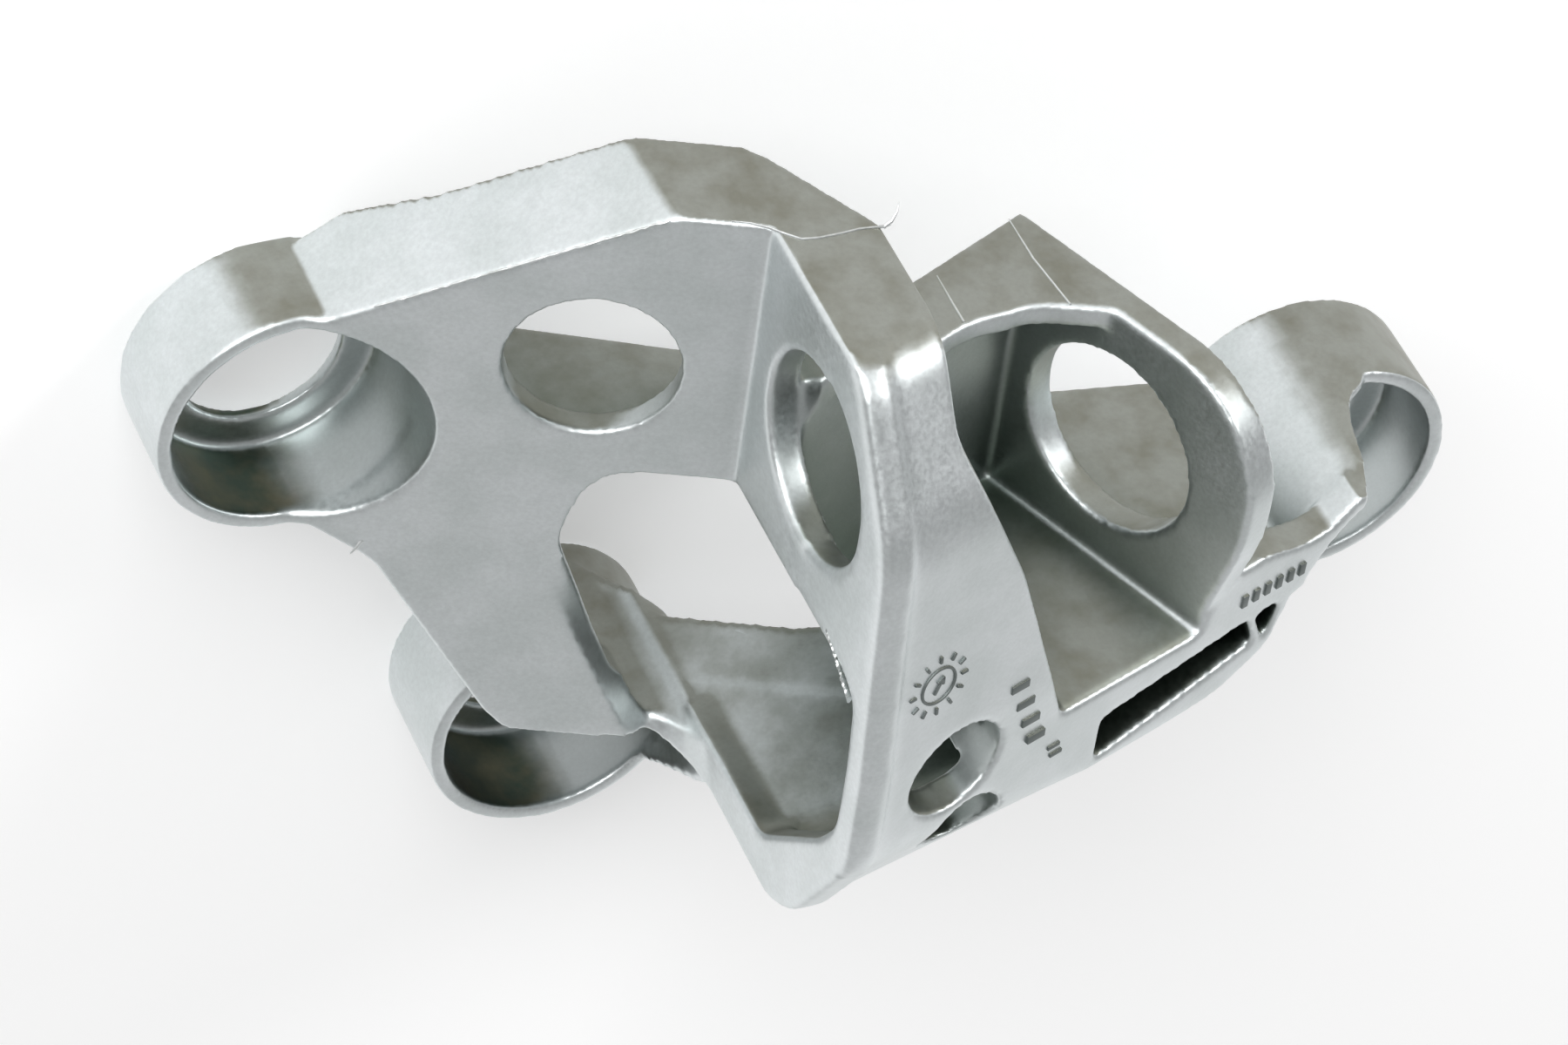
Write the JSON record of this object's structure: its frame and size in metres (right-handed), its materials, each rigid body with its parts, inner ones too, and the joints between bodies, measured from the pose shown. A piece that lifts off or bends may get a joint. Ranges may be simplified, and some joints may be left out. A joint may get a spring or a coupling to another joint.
{
  "type": "gearshift cable bracket",
  "caption": "Die-cast bracket with tubular mounting bosses and plates that hold gearshift cables.",
  "frame": {"origin": "on the axis of the first mounting boss, at its far face with the lip", "axes": "+Z along the mounting bosses toward the cable holders, +X along the cables from the first holder to the second, +Y completes the right-handed set"},
  "size_m": [0.1372, 0.0977, 0.0643],
  "materials": {
    "casting": "satin"
  },
  "bodies": {
    "root": {"cable_bracket": "casting"}
  },
  "joints": []
}
